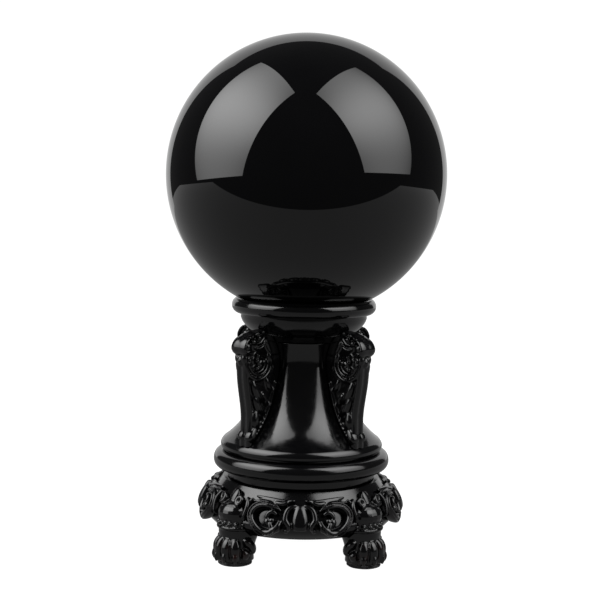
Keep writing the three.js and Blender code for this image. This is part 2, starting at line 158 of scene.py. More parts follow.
def skin(rings, wrap=False):
    """Quads between each closed ring of points and the next, for rings[row, column]. With wrap the last row
    joins the first, and without it both ends close in a fan of triangles to their middle."""
    rows, columns, _ = rings.shape
    row = np.arange(rows if wrap else rows - 1)[:, None]
    here = np.arange(columns)[None, :]
    beside = np.roll(here, -1, 1)
    over = (row + 1) % rows * columns
    quads = np.stack([row * columns + here, row * columns + beside, over + beside, over + here], -1)
    points = rings.reshape(-1, 3)
    faces = [quads.reshape(-1, 4)]
    if not wrap:
        points = np.concatenate([points, rings[[0, -1]].mean(1)])
        first, last = here[0], (rows - 1) * columns + here[0]
        hub = np.full(columns, rows * columns)
        faces.append(np.stack([hub, np.roll(first, -1), first], -1))
        faces.append(np.stack([hub + 1, last, np.roll(last, -1)], -1))
    return outward(points, faces)


def unit_sphere(rows, columns):
    """Rings of points on a sphere of radius one, poles left out: (sin p cos a, sin p sin a, cos p)."""
    p = np.linspace(0, np.pi, rows + 2)[1:-1, None]
    a = np.linspace(0, 2 * np.pi, columns, endpoint=False)[None, :]
    return np.stack([np.sin(p) * np.cos(a), np.sin(p) * np.sin(a), np.cos(p) + 0 * a], -1)


def mesh_of(name, shells):
    """One mesh in metres from shells given in millimetres."""
    sizes, loops, base = [], [], 0
    for points, faces in shells:
        loops += [(f + base).ravel() for f in faces]
        sizes += [np.full(len(f), f.shape[1]) for f in faces]
        base += len(points)
    points = np.concatenate([s[0] for s in shells]) * MM
    loops, sizes = np.concatenate(loops), np.concatenate(sizes)
    mesh = bpy.data.meshes.new(name)
    mesh.vertices.add(len(points))
    mesh.vertices.foreach_set("co", points.astype(np.float32).ravel())
    mesh.loops.add(len(loops))
    mesh.loops.foreach_set("vertex_index", loops.astype(np.int32))
    mesh.polygons.add(len(sizes))
    mesh.polygons.foreach_set("loop_start", (np.cumsum(sizes) - sizes).astype(np.int32))
    mesh.update(calc_edges=True)
    mesh.validate()
    return mesh


def show(name, mesh, material, body, node, crease=38):
    """A finished piece: smooth but for edges that turn more than crease degrees, riding on its body in
    place of its CAD node."""
    mesh.shade_smooth()
    mesh.set_sharp_from_angle(angle=np.radians(crease))
    mesh.materials.clear()
    mesh.materials.append(material)
    piece = bpy.data.objects.new(name, mesh)
    bpy.context.scene.collection.objects.link(piece)
    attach(piece, body)
    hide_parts(node)
    print(name, len(mesh.polygons), "faces")


# %% [markdown]
# ## The studio
# The object is a black mirror, so what it reflects is most of what the eye sees: two tall softboxes, a
# pale floor that ends 230 mm in front of it, a white sheet behind, and a dark room.
# Each is a glowing sheet. Its glow is worked out at every point and kept as an attribute.
# The camera sees only a white floor and a white room, which nothing reflects.


# %% Glowing sheets
def sheet(name, corner, across, up, glow, seen, steps=24):
    """A flat grid from a corner along two edges, in metres. glow is a function of the two shares along the
    edges, and seen names the kinds of ray that meet it. Returns its node tree, lamp node and output."""
    u, v = np.meshgrid(np.linspace(0, 1, steps), np.linspace(0, 1, steps), indexing="xy")
    points = np.array(corner) + u[..., None] * np.array(across) + v[..., None] * np.array(up)
    index = np.arange(steps * steps).reshape(steps, steps)
    quads = np.stack([index[:-1, :-1], index[:-1, 1:], index[1:, 1:], index[1:, :-1]], -1)
    mesh = mesh_of(name, [(points.reshape(-1, 3) / MM, [quads.reshape(-1, 4)])])
    mesh.attributes.new("glow", "FLOAT", "POINT").data.foreach_set("value", (glow(u, v) + 0 * u).ravel())
    material, tree, out = new_material(name)
    strength = add(tree, "ShaderNodeAttribute", attribute_name="glow").outputs["Fac"]
    lamp = add(tree, "ShaderNodeEmission", {"Strength": strength})
    tree.links.new(lamp.outputs[0], out.inputs["Surface"])
    mesh.materials.append(material)
    made = bpy.data.objects.new(name, mesh)
    bpy.context.scene.collection.objects.link(made)
    for ray in ("camera", "diffuse", "glossy", "transmission", "volume_scatter", "shadow"):
        setattr(made, "visible_" + ray, ray in seen)
    return tree, lamp, out


def softbox(name, azimuth, elevation, turn, width, height, distance, glow):
    """A sheet that faces the ball's middle from a direction, given as degrees round from the front and up."""
    a, e, t = np.radians([azimuth, elevation, turn])
    facing = np.array([np.sin(a) * np.cos(e), -np.cos(a) * np.cos(e), np.sin(e)])
    level = np.array([np.cos(a), np.sin(a), 0.0])
    upright = np.cross(facing, level)
    upright *= np.sign(upright[2])
    across = (level * np.cos(t) + upright * np.sin(t)) * width * distance
    up = (-level * np.sin(t) + upright * np.cos(t)) * height * distance
    middle = np.array([0, 0, BALL_Z * MM]) + facing * distance
    sheet(name, middle - across / 2 - up / 2, across, up, glow, ("glossy", "diffuse"))


def lamp_glow(foot, lamp, lamp_u):
    """A lamp behind cloth: foot + lamp exp(-((v - 0.565) / 0.27)^2), less what falls off to the sides."""
    return lambda u, v: ((foot + lamp * np.exp(-(((v - 0.565) / 0.27) ** 2)))
                         * (1 - 1.5 * (u - lamp_u) ** 2))


softbox("softbox_left", -75.2, 35.5, 3.4, 1.06, 1.58, 0.6, lamp_glow(2.5, 3.8, 0.57))
softbox("softbox_right", 67.6, 38.2, -1.4, 0.98, 1.46, 0.6, lamp_glow(2.2, 3.0, 0.36))
sheet("floor_glow", (-1.2, -0.23, -0.001), (2.4, 0, 0), (0, 1.0, 0),
      lambda u, v: 0.26 + 0.5 * np.abs(u - 0.5) + 0.08 * v, ("glossy",))
sheet("backdrop_glow", (-0.46, 0.6, -0.05), (0.92, 0, 0), (0, 0, 0.83),
      lambda u, v: 0.66 + 0.5 * np.abs(u - 0.5) * (1 - v), ("glossy",))
print("two softboxes, a floor and a backdrop")

# %% White room and floor for the camera
WHITE = 1.06  # a little over full white
FLOOR, PAINTED_SHADOW_REACH = 12, 0.25  # metres: the floor's width, and how far the shade spreads round the object
# Round the object the floor's glow dips by 0.06: a painted contact shadow, added to the real shadow that its
# grey diffuse part catches.
tree, lamp, out = sheet(
    "floor", (-FLOOR / 2, -FLOOR / 2, 0), (FLOOR, 0, 0), (0, FLOOR, 0),
    lambda u, v: WHITE - 0.06 * np.exp(-(np.hypot(u - 0.5, v - 0.5) * FLOOR / PAINTED_SHADOW_REACH) ** 2),
    ("camera",), steps=193)
plaster = add(tree, "ShaderNodeBsdfDiffuse", {"Color": linear("#6b6b6b")})
both = add(tree, "ShaderNodeAddShader", {0: lamp.outputs[0], 1: plaster.outputs[0]})
tree.links.new(both.outputs[0], out.inputs["Surface"])

dome = bpy.data.objects.new("room", mesh_of("room", [skin(5000 * unit_sphere(31, 64))]))
bpy.context.scene.collection.objects.link(dome)
material, tree, out = new_material("white_room")
white = add(tree, "ShaderNodeEmission", {"Strength": WHITE})
tree.links.new(white.outputs[0], out.inputs["Surface"])
dome.data.materials.append(material)
for ray in ("diffuse", "glossy", "transmission", "volume_scatter", "shadow"):
    setattr(dome, "visible_" + ray, False)
world = bpy.data.worlds.new("dark_room")
world.use_nodes = True
world.node_tree.nodes["Background"].inputs["Color"].default_value = (1, 1, 1, 1)
world.node_tree.nodes["Background"].inputs["Strength"].default_value = 0.05
bpy.context.scene.world = world
print("white room for the camera, dark room for the reflections")

# %% [markdown]
# ## Obsidian, cut and polished
# Obsidian is volcanic glass: nearly black all through, with a polish as true as a lens, and an index of
# refraction of 1.5. At this size it lets no light through, so a glossy dielectric over near black will do.
# The eye gets sharp reflections, with the faintest clouding of colour and of polish.

# %% Material: obsidian_polished
obsidian_polished, tree, out = new_material("obsidian_polished")
place = add(tree, "ShaderNodeTexCoord").outputs["Object"]
cloud = add(tree, "ShaderNodeTexNoise", {"Vector": place, "Scale": per(16), "Detail": 3.0})
tone = add(tree, "ShaderNodeValToRGB", {"Fac": cloud.outputs["Fac"]})
tone.color_ramp.elements[0].color = linear("#020203")
tone.color_ramp.elements[1].color = linear("#070708")
handling = add(tree, "ShaderNodeTexNoise", {"Vector": place, "Scale": per(9), "Detail": 2.0})
polish = add(tree, "ShaderNodeMapRange", {"Value": handling.outputs["Fac"], "From Min": 0.35,
                                          "From Max": 0.75, "To Min": 0.012, "To Max": 0.022})
glass = add(tree, "ShaderNodeBsdfPrincipled", {"Base Color": tone.outputs["Color"], "IOR": 1.5,
                                               "Roughness": polish.outputs["Result"]})
tree.links.new(glass.outputs[0], out.inputs["Surface"])
print(obsidian_polished.name)

# %% [markdown]
# ## Polyester resin, cast and lacquered
# The stand is cast resin filled with stone dust, dipped or sprayed with black lacquer.
# Lacquer settles in a soft orange peel about a millimetre across, its gloss varies a little from place to
# place, and it lets a trace of the brown resin show on the toes, where it rubs. Its index of refraction is
# about 1.5.

# %% Material: resin_cast_lacquered
resin_cast_lacquered, tree, out = new_material("resin_cast_lacquered")
place = add(tree, "ShaderNodeTexCoord").outputs["Object"]
height = add(tree, "ShaderNodeSeparateXYZ", {"Vector": place}).outputs["Z"]
low_down = add(tree, "ShaderNodeMapRange", {"Value": height, "From Min": 8 * MM, "From Max": 2 * MM})
rub = add(tree, "ShaderNodeTexNoise", {"Vector": place, "Scale": per(2.2), "Detail": 4.0})
rubbed = add(tree, "ShaderNodeMapRange", {"Value": rub.outputs["Fac"], "From Min": 0.5, "From Max": 0.75})
worn = add(tree, "ShaderNodeMath", {0: low_down.outputs["Result"], 1: rubbed.outputs["Result"]},
           operation="MULTIPLY")
tone = add(tree, "ShaderNodeValToRGB", {"Fac": worn.outputs["Value"]})
tone.color_ramp.elements[0].color = linear("#060607")
tone.color_ramp.elements[1].color = linear("#2b1613")
flow = add(tree, "ShaderNodeTexNoise", {"Vector": place, "Scale": per(5), "Detail": 3.0})
gloss = add(tree, "ShaderNodeMapRange", {"Value": flow.outputs["Fac"], "From Min": 0.35, "From Max": 0.7,
                                         "To Min": 0.09, "To Max": 0.17})
peel = add(tree, "ShaderNodeTexNoise", {"Vector": place, "Scale": per(1.3), "Detail": 1.5})
surface = add(tree, "ShaderNodeBump", {"Height": peel.outputs["Fac"], "Strength": 0.45,
                                       "Distance": 0.02 * MM})
lacquer = add(tree, "ShaderNodeBsdfPrincipled", {"Base Color": tone.outputs["Color"], "IOR": 1.5,
                                                 "Roughness": gloss.outputs["Result"],
                                                 "Normal": surface.outputs["Normal"]})
tree.links.new(lacquer.outputs[0], out.inputs["Surface"])
print(resin_cast_lacquered.name)

# %% [markdown]
# ## Rubber, steel and felt
# The cushion is moulded rubber: dull, with a fine grain from its mould. The fastenings are zinc plated
# steel: a metal, so its colour is in its reflection, slightly clouded. The pads are pressed wool felt.

# %% Material: rubber_moulded
rubber_moulded, tree, out = new_material("rubber_moulded")
place = add(tree, "ShaderNodeTexCoord").outputs["Object"]
grain = add(tree, "ShaderNodeTexNoise", {"Vector": place, "Scale": per(0.5), "Detail": 3.0})
tone = add(tree, "ShaderNodeValToRGB", {"Fac": grain.outputs["Fac"]})
tone.color_ramp.elements[0].color = linear("#101011")
tone.color_ramp.elements[1].color = linear("#1d1d1e")
surface = add(tree, "ShaderNodeBump", {"Height": grain.outputs["Fac"], "Strength": 0.4,
                                       "Distance": 0.03 * MM})
rubber = add(tree, "ShaderNodeBsdfPrincipled", {"Base Color": tone.outputs["Color"], "Roughness": 0.62,
                                                "IOR": 1.52, "Normal": surface.outputs["Normal"]})
tree.links.new(rubber.outputs[0], out.inputs["Surface"])
print(rubber_moulded.name)

# %% Material: steel_zinc_plated
steel_zinc_plated, tree, out = new_material("steel_zinc_plated")
place = add(tree, "ShaderNodeTexCoord").outputs["Object"]
spangle = add(tree, "ShaderNodeTexVoronoi", {"Vector": place, "Scale": per(1.1)})
tone = add(tree, "ShaderNodeValToRGB", {"Fac": spangle.outputs["Distance"]})
tone.color_ramp.elements[0].color = linear("#b4b6b8")
tone.color_ramp.elements[1].color = linear("#9a9ca0")
scuff = add(tree, "ShaderNodeTexNoise", {"Vector": place, "Scale": per(0.8), "Detail": 4.0})
gloss = add(tree, "ShaderNodeMapRange", {"Value": scuff.outputs["Fac"], "To Min": 0.24, "To Max": 0.42})
surface = add(tree, "ShaderNodeBump", {"Height": scuff.outputs["Fac"], "Strength": 0.3,
                                       "Distance": 0.01 * MM})
steel = add(tree, "ShaderNodeBsdfPrincipled", {"Base Color": tone.outputs["Color"], "Metallic": 1.0,
                                               "Roughness": gloss.outputs["Result"],
                                               "Normal": surface.outputs["Normal"]})
tree.links.new(steel.outputs[0], out.inputs["Surface"])
print(steel_zinc_plated.name)

# %% Material: felt_pressed
felt_pressed, tree, out = new_material("felt_pressed")
place = add(tree, "ShaderNodeTexCoord").outputs["Object"]
fibres = add(tree, "ShaderNodeTexNoise", {"Vector": place, "Scale": per(0.35), "Detail": 6.0,
                                          "Roughness": 0.7, "Distortion": 1.5})
tone = add(tree, "ShaderNodeValToRGB", {"Fac": fibres.outputs["Fac"]})
tone.color_ramp.elements[0].color = linear("#0d0d0e")
tone.color_ramp.elements[1].color = linear("#232325")
surface = add(tree, "ShaderNodeBump", {"Height": fibres.outputs["Fac"], "Strength": 0.9,
                                       "Distance": 0.12 * MM})
felt = add(tree, "ShaderNodeBsdfPrincipled", {"Base Color": tone.outputs["Color"], "Roughness": 0.95,
                                              "Sheen Weight": 0.35, "Sheen Roughness": 0.5,
                                              "Normal": surface.outputs["Normal"]})
tree.links.new(felt.outputs[0], out.inputs["Surface"])
print(felt_pressed.name)

# %% [markdown]
# ## The ball
# A ball is ground between rotating cups until it is round to a few hundredths of a millimetre.
# A ball with few faces would show straight edges in its reflections, so the grid is fine, 256 by 128.

# %% Ball
points, faces = skin(BALL_R * unit_sphere(127, 256) + [0, 0, BALL_Z])
points[-2:] = [[0, 0, BALL_Z + BALL_R], [0, 0, BALL_Z - BALL_R]]
show("obsidian_ball", mesh_of("obsidian_ball", [(points, faces)]),
     obsidian_polished, "ball", "ball")

# %% [markdown]
# ## Turned pieces
# Cup, column, base moulding and ring were turned before they were moulded, so each is one closed profile
# carried round the Z axis. Curves are splines and Bezier curves, and each sharp corner is eased by a
# quarter of a millimetre, as lacquer does.


# %% Profile helpers
def spline(knots, steps=10):
    """A Catmull-Rom curve through points: between two knots, half of
    (2b + (c - a)t + (2a - 5b + 4c - d)t^2 + (3b - a - 3c + d)t^3), with the end knots repeated."""
    knots = np.array(knots, float)
    padded = np.concatenate([knots[:1], knots, knots[-1:]])
    a, b, c, d = (padded[i : len(knots) - 1 + i, None] for i in range(4))
    t = np.linspace(0, 1, steps, endpoint=False)[None, :, None]
    curve = 0.5 * (2 * b + (c - a) * t + (2 * a - 5 * b + 4 * c - d) * t**2 + (3 * b - a - 3 * c + d) * t**3)
    return np.concatenate([curve.reshape(-1, knots.shape[1]), knots[-1:]])


def bezier(controls, steps=16):
    """A quadratic or cubic Bezier curve: the sum of binomial(n, i) t^i (1 - t)^(n - i) times control i."""
    controls = np.array(controls, float)
    weights = {3: [1, 2, 1], 4: [1, 3, 3, 1]}[len(controls)]
    t = np.linspace(0, 1, steps)[:, None]
    i = np.arange(len(controls))[None, :]
    return (np.array(weights) * t**i * (1 - t) ** (len(controls) - 1 - i)) @ controls


def eased(profile, cut=0.25, steps=6):
    """A closed profile whose corners that turn more than 25 degrees become quadratic curves, from one point a
    cut's length before the corner to another as far after it."""
    profile = profile[np.linalg.norm(profile - np.roll(profile, 1, 0), axis=1) > 1e-6]
    back, on = np.roll(profile, 1, 0) - profile, np.roll(profile, -1, 0) - profile
    back_length, on_length = np.linalg.norm(back, axis=1), np.linalg.norm(on, axis=1)
    straight = -(back * on).sum(1) / (back_length * on_length)
    sharp = straight < np.cos(np.radians(25))
    reach = np.where(sharp, np.minimum(cut, 0.45 * np.minimum(back_length, on_length)), 0)
    start = profile + back * (reach / back_length)[:, None]
    end = profile + on * (reach / on_length)[:, None]
    counts = np.where(sharp, steps, 1)
    which = np.repeat(np.arange(len(profile)), counts)
    step = np.arange(counts.sum()) - np.repeat(np.cumsum(counts) - counts, counts)
    t = (step / np.maximum(counts[which] - 1, 1))[:, None]
    return (1 - t) ** 2 * start[which] + 2 * t * (1 - t) * profile[which] + t**2 * end[which]


def turned(profile, steps=192):
    """A closed profile of (radius, height) carried round the Z axis: (r cos a, r sin a, z)."""
    angle = np.linspace(0, 2 * np.pi, steps, endpoint=False)[None, :]
    r, z = profile[:, :1], profile[:, 1:]
    return skin(np.stack([r * np.cos(angle), r * np.sin(angle), z + 0 * angle], -1), wrap=True)


def grown(profile, by):
    """A closed profile moved out along its normals, which are its tangents turned by a right angle."""
    along = np.roll(profile, -1, 0) - np.roll(profile, 1, 0)
    along /= np.linalg.norm(along, axis=1)[:, None]
    x, y = profile[:, 0], profile[:, 1]
    area = (x * np.roll(y, -1) - y * np.roll(x, -1)).sum()
    return profile + by * np.sign(area) * np.stack([along[:, 1], -along[:, 0]], -1)


print("a spline of 5 knots has", len(spline(np.zeros((5, 2)))), "points")

# %% [markdown]
# ### Cushion ring
# A rubber O-ring keeps the ball from grinding on the lacquer. A moulded O-ring has a hair's breadth of
# flash where the two halves of its mould met, so the round section swells slightly at its middle.

# %% Cushion ring
ring_low, ring_high = low("cushion_ring"), high("cushion_ring")
section = (ring_high[2] - ring_low[2]) / 2
turn = np.linspace(0, 2 * np.pi, 48, endpoint=False)
flash = 0.975 + 0.025 * np.exp(-((np.sin(turn) / 0.12) ** 2))
CUSHION_R, CUSHION_Z = ring_high[0] - section, (ring_high[2] + ring_low[2]) / 2
ring_profile = np.stack([CUSHION_R + section * flash * np.cos(turn),
                         CUSHION_Z + section * flash * np.sin(turn)], -1)
show("cushion_o_ring", mesh_of("cushion_o_ring", [turned(ring_profile)]),
     rubber_moulded, "cushion", "cushion_ring")

# %% [markdown]
# ### Cup
# A shallow bowl on a short stem, with a rolled lip like a cushion moulding. Its inside is dished to the
# ball, with a groove for the cushion ring and a countersunk floor for the bolt's head.

# %% Cup
BORE, SPIGOT_R, SPIGOT_DEPTH = 2.8, 6.0, 3.0
SOCKET_R, SOCKET_DEPTH = SPIGOT_R + GAP, SPIGOT_DEPTH + GAP
STEM_R, BOWL_R, LIP_R, LIP_ROLL = 12.4, 18.2, 18.5, 2.3
LIP_Z = CUP_Z + 9.6
SEAT_R = BALL_R + GAP
DISH_Z = CUP_Z + 1.6


def on_seat(r):
    """The height of the dished seat at a radius: the ball's middle less the root of R^2 - r^2."""
    return BALL_Z - np.sqrt(SEAT_R**2 - np.asarray(r, float) ** 2)


bowl = spline([(STEM_R, CUP_Z), (STEM_R + 1.3, CUP_Z + 1.6), (BOWL_R - 2.2, CUP_Z + 2.9),
               (BOWL_R - 0.6, CUP_Z + 4.8), (BOWL_R, CUP_Z + 6.2)])
lip_turn = np.linspace(-0.55 * np.pi, np.arccos(1.1 / LIP_ROLL), 40)
lip = np.stack([LIP_R + LIP_ROLL * np.cos(lip_turn), LIP_Z + LIP_ROLL * np.sin(lip_turn)], -1)
seat_r = np.linspace(LIP_R + 1.1, CUSHION_R + section + GAP, 8)[1:]
groove_z = CUSHION_Z - section - GAP
inside = [(CUSHION_R + section + GAP, groove_z), (CUSHION_R - 2.0, groove_z), (CUSHION_R - 3.6, DISH_Z),
          (5.1, DISH_Z), (BORE, DISH_Z - 2.6), (BORE, CUP_Z - SPIGOT_DEPTH), (SPIGOT_R, CUP_Z - SPIGOT_DEPTH),
          (SPIGOT_R, CUP_Z)]
cup_profile = np.concatenate([bowl, lip, np.stack([seat_r, on_seat(seat_r)], -1), inside])
show("cup_bowl", mesh_of("cup_bowl", [turned(eased(cup_profile, 0.2))]),
     resin_cast_lacquered, "stand", "cup")

# %% [markdown]
# ### Column shaft
# The column flares from a slim waist to a bell, whose foot is a rounded rim.
# The flare is one cubic curve, because a bell drawn as two arcs would show a kink in its highlight.

# %% Column shaft
BELL_R, BELL_RIM, WAIST_R = 23.5, 1.5, 10.8
WAIST_Z = SHAFT_Z + 0.78 * (SHAFT_TOP_Z - SHAFT_Z)
rim_top = SHAFT_Z + 2 * BELL_RIM
belly = WAIST_Z - rim_top
shaft_profile = np.concatenate([
    [(BORE, SHAFT_Z - SPIGOT_DEPTH), (SPIGOT_R, SHAFT_Z - SPIGOT_DEPTH), (SPIGOT_R, SHAFT_Z)],
    bezier([(BELL_R - 0.7, SHAFT_Z), (BELL_R + 0.6, SHAFT_Z + BELL_RIM), (BELL_R - 0.9, rim_top)]),
    bezier([(BELL_R - 0.9, rim_top), (BELL_R - 3.6, rim_top + 0.09 * belly),
            (WAIST_R + 2.2, WAIST_Z - 0.64 * belly), (WAIST_R, WAIST_Z)], 64)[1:],
    bezier([(WAIST_R, WAIST_Z), (WAIST_R - 0.5, WAIST_Z + 0.46 * (SHAFT_TOP_Z - WAIST_Z)),
            (WAIST_R + 1.4, SHAFT_TOP_Z)], 32)[1:],
    [(SOCKET_R, SHAFT_TOP_Z), (SOCKET_R, SHAFT_TOP_Z - SOCKET_DEPTH), (BORE, SHAFT_TOP_Z - SOCKET_DEPTH)]])
show("column_bell", mesh_of("column_bell", [turned(eased(shaft_profile))]),
     resin_cast_lacquered, "stand", "column_shaft")

# %% [markdown]
# ### Base moulding
# A half round over a plain fillet carries the column. Two quadratic curves make the half round, which is
# a little fuller at its foot than at its top, and catches one long highlight.

# %% Base moulding
FILLET_R, FILLET_Z, HALF_ROUND_R = BELL_R - 2.1, BASE_Z + 2.1, BELL_R + 1.9
mid_z = (FILLET_Z + BASE_TOP_Z) / 2
base_profile = np.concatenate([
    [(BORE, BASE_Z - SPIGOT_DEPTH), (SPIGOT_R, BASE_Z - SPIGOT_DEPTH), (SPIGOT_R, BASE_Z),
     (FILLET_R, BASE_Z)],
    bezier([(FILLET_R, FILLET_Z), (HALF_ROUND_R, FILLET_Z), (HALF_ROUND_R, mid_z)], 24),
    bezier([(HALF_ROUND_R, mid_z), (HALF_ROUND_R, BASE_TOP_Z - 0.5), (BELL_R, BASE_TOP_Z)], 24)[1:],
    [(SOCKET_R, BASE_TOP_Z), (SOCKET_R, BASE_TOP_Z - SOCKET_DEPTH), (BORE, BASE_TOP_Z - SOCKET_DEPTH)]])
show("base_half_round", mesh_of("base_half_round", [turned(eased(base_profile))]),
     resin_cast_lacquered, "stand", "base_moulding")

# %% [markdown]
# ### Foot ring
# A skirt like an upturned saucer. It is hollow below, with a floor under its top that the nut pulls on.

# %% Foot ring
RING_TOP_R = FILLET_R + 1.1
RING_WIDEST = RING_TOP_R + 4.9
RING_RIM_R = RING_WIDEST - 2.0
WEB_Z = RING_TOP_Z - 3.5
skirt = spline([(RING_RIM_R, RIM_Z), (RING_WIDEST, RIM_Z + 2.6), (RING_WIDEST - 0.9, RIM_Z + 6),
                ((RING_WIDEST + RING_TOP_R) / 2, RING_TOP_Z - 3.4), (RING_TOP_R, RING_TOP_Z)], 12)
ring_inside = [(SOCKET_R, RING_TOP_Z), (SOCKET_R, WEB_Z), (RING_TOP_R - 3.2, WEB_Z),
               (RING_WIDEST - 4.0, RIM_Z + 4.5), (RING_RIM_R - 2.4, RIM_Z)]
ring_profile = np.concatenate([skirt, ring_inside])
show("foot_ring_skirt", mesh_of("foot_ring_skirt", [turned(eased(ring_profile))]),
     resin_cast_lacquered, "stand", "foot_ring")

# %% [markdown]
# ### Bolt, washer and nut
# One long screw with a slotted countersunk head pulls the stack together against a plain washer and a
# hexagon nut. The thread is a ridge whose radius follows height and angle together, so it climbs by one
# pitch in each turn. The head's slot is sawn out with a Boolean.

# %% Bolt
tail_z, neck_z, head_z = low("tie_bolt")[2], DISH_Z - 2.6, high("tie_bolt")[2]
angle = np.linspace(0, 2 * np.pi, 48, endpoint=False)[None, :]
THREAD_FROM, THREAD_TO, PITCH, THREAD_DEPTH = tail_z + 0.4, tail_z + 9.0, 0.8, 0.42
thread_z = np.linspace(THREAD_FROM, THREAD_TO, 90)[:, None]
ramp = np.clip((thread_z - THREAD_FROM) / PITCH, 0, 1) * np.clip((THREAD_TO - thread_z) / PITCH, 0, 1)
wave = np.abs(((thread_z / PITCH - angle / (2 * np.pi)) % 1) * 2 - 1)
thread_r = 2.5 - THREAD_DEPTH * ramp * wave
plain = np.array([(2.5, neck_z - 0.2), (2.52, neck_z), (4.68, head_z - 0.15), (4.8, head_z - 0.05),
                  (4.7, head_z)])
radii = np.concatenate([np.full((1, 48), 2.1), thread_r, np.repeat(plain[:, :1], 48, 1)])
heights = np.concatenate([[[tail_z]], thread_z, plain[:, 1:]]) + 0 * angle
angles = angle + 0 * heights
bolt_mesh = mesh_of("bolt", [skin(np.stack([radii * np.cos(angles), radii * np.sin(angles), heights], -1))])
corner = np.array([(-1, -1), (1, -1), (1, 1), (-1, 1)], float)
slot_rings = np.stack([np.column_stack([corner * (7.2, 0.6), np.full(4, z)])
                       for z in (head_z - 1, head_z + 2)])
slot_saw = mesh_of("slot_saw", [skin(slot_rings)])


def carved(mesh, cutters, remesh=0, smooth=0):
    """A mesh after its modifiers: shells welded into one skin on a grid of cubes, remesh mm across, then
    smoothed so many times, then cut by each cutter."""
    block = bpy.data.objects.new("block", mesh)
    bpy.context.scene.collection.objects.link(block)
    if remesh:
        weld = block.modifiers.new("weld", "REMESH")
        weld.mode, weld.voxel_size = "VOXEL", remesh * MM
        ease = block.modifiers.new("ease", "SMOOTH")
        ease.factor, ease.iterations = 0.5, smooth
    tools = [bpy.data.objects.new("tool", cutter) for cutter in cutters]
    for tool in tools:
        bpy.context.scene.collection.objects.link(tool)
        cut = block.modifiers.new("cut", "BOOLEAN")
        cut.operation, cut.object, cut.solver = "DIFFERENCE", tool, "EXACT"
    ready = block.evaluated_get(bpy.context.evaluated_depsgraph_get())
    made = bpy.data.meshes.new_from_object(ready)
    for spent in (block, *tools):
        bpy.data.objects.remove(spent)
    print("carved:", len(made.polygons), "faces")
    return made


show("tie_screw", carved(bolt_mesh, [slot_saw]), steel_zinc_plated, "stand", "tie_bolt")

# %% Washer and nut
washer_low, washer_high = low("clamp_washer"), high("clamp_washer")
washer_profile = np.array([(BORE, washer_low[2]), (washer_high[0], washer_low[2]),
                           (washer_high[0], washer_high[2]), (BORE, washer_high[2])])
show("plain_washer", mesh_of("plain_washer", [turned(eased(washer_profile, 0.3), 96)]),
     steel_zinc_plated, "stand", "clamp_washer")

nut_low, nut_high = low("clamp_nut")[2], high("clamp_nut")[2]
angle = np.linspace(0, 2 * np.pi, 144, endpoint=False)[None, :]
rise = np.array([0, 0.15, 0.35, 0.7, 1.2, 2, 2.8, 3.3, 3.65, 3.85, 4])[:, None] / 4
flat = 4.0 / np.cos((angle + np.pi / 6) % (np.pi / 3) - np.pi / 6)
chamfer = 4.1 + 1.732 * 4 * np.minimum(rise, 1 - rise)
outer = np.minimum(flat, chamfer)
bore_r = BORE + np.array([0.35, 0, 0, 0.35])[:, None] + 0 * angle
rows = np.concatenate([outer, bore_r])
levels = np.concatenate([nut_low + rise * (nut_high - nut_low),
                         [[nut_high], [nut_high - 0.35], [nut_low + 0.35], [nut_low]]]) + 0 * angle
nut_rings = np.stack([rows * np.cos(angle), rows * np.sin(angle), levels], -1)
show("hexagon_nut", mesh_of("hexagon_nut", [skin(nut_rings, wrap=True)]),
     steel_zinc_plated, "stand", "clamp_nut")

# %% [markdown]
# ## Carved pieces
# Brackets, panels and paws were modelled by hand in clay and then cast, so every lobe runs into the next
# with a soft fillet. Sculpting would do it, and so would metaballs.
# Here each lobe, band, bead and leaf is its own closed shell with a formula. A voxel remesh then welds the
# shells into one skin, a little smoothing rounds the joins, and what they are fitted to is cut away.


# %% Carving helpers
def carried(path, up, section, width, height):
    """A closed section carried along a path. Its first coordinate times the width there is laid across the
    path, and its second times the height there along the way up, squared up to the path."""
    along = np.gradient(path, axis=0)
    along /= np.linalg.norm(along, axis=1)[:, None]
    up = up - (up * along).sum(1)[:, None] * along
    up /= np.linalg.norm(up, axis=1)[:, None]
    across = np.cross(along, up)
    wide = section[None, :, :1] * np.asarray(width, float).reshape(-1, 1, 1)
    tall = section[None, :, 1:] * np.asarray(height, float).reshape(-1, 1, 1)
    return skin(path[:, None] + across[:, None] * wide + up[:, None] * tall)


def lobes(centres, radii):
    """Ellipsoids: each centre plus its radii times the unit sphere's points."""
    centres = np.atleast_2d(centres)
    radii = np.broadcast_to(radii, (len(centres), 3))
    placed = unit_sphere(12, 20) * radii[:, None, None] + centres[:, None, None]
    return [skin(rings) for rings in placed]


def moulding(grooves, depth, base=-0.6, narrow=0.2):
    """A closed section, one wide each way and one high, with a round top cut by narrow grooves at the given
    places across it: height times one less depth exp(-((x - groove) / narrow)^2) for each groove."""
    t = np.linspace(0, 2 * np.pi, 56, endpoint=False)
    x = np.sign(np.cos(t)) * np.abs(np.cos(t)) ** 0.8
    y = np.where(np.sin(t) > 0, np.abs(np.sin(t)) ** 0.7, base * np.abs(np.sin(t)) ** 0.5)
    cut = sum(depth * np.exp(-(((x - g) / narrow) ** 2)) for g in grooves) if grooves else 0
    return np.stack([x, np.where(y > 0, y * (1 - cut), y)], -1)


PLAIN = moulding([], 0)
REEDED = moulding([0.15], 0.42, narrow=0.24)
ROUND = moulding([], 0, -1.0)
GROOVED = moulding([0.0], 0.4, narrow=0.3)


def taper(count, start, end):
    """A width along a leaf: it swells from one end's share to full and falls to the other end's share, by
    the sine of pi t to the power 0.6."""
    t = np.linspace(0, 1, count)
    swell = np.sin(np.pi * t) ** 0.6
    return swell + (1 - swell) * np.where(t < 0.5, start, end)


